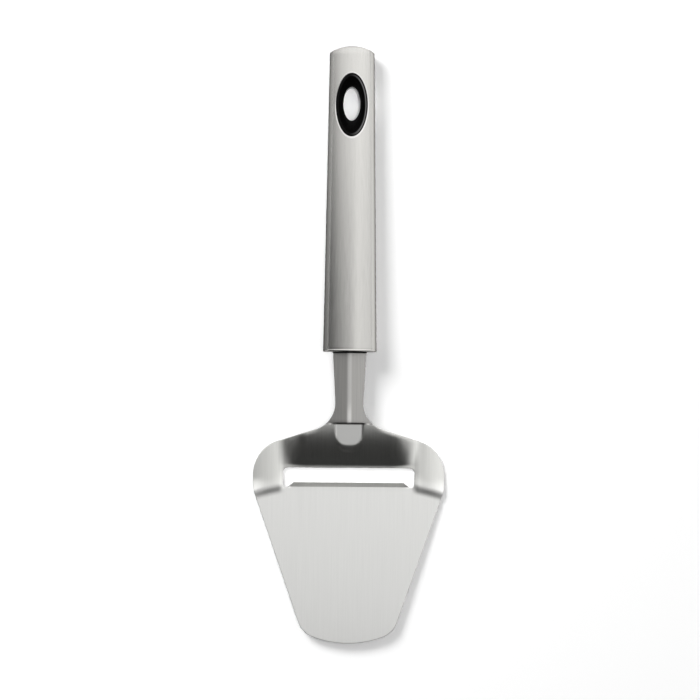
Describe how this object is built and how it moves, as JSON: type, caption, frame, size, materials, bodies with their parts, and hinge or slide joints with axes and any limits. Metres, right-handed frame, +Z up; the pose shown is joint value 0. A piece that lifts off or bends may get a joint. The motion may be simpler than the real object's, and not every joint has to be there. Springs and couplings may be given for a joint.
{
  "type": "cheese slicer",
  "caption": "Cheese plane: pressed steel head with a cross slot and cutting lip, ridged neck, and a hollow oval steel handle with a black hanging eye.",
  "frame": {"origin": "middle of the part's outline on the table it lies on", "axes": "+X to the right, +Y from the plate's free end to the butt of the handle, +Z up, away from the table"},
  "size_m": [0.077, 0.239, 0.0165],
  "materials": {
    "head_steel": "satin stainless steel",
    "handle_steel": "stainless steel brushed lengthwise",
    "rivet_steel": "plain turned steel",
    "black_plastic": "glossy moulded black",
    "core_nylon": "plain moulded grey"
  },
  "bodies": {
    "root": {"slicing_head": "head_steel", "handle_front_shell": "handle_steel", "handle_back_shell": "handle_steel", "butt_cap": "handle_steel", "eyelet_front": "black_plastic", "eyelet_back": "black_plastic", "mouth_plug": "black_plastic", "tang_core": "core_nylon", "tang_rivets": "rivet_steel"}
  },
  "joints": []
}
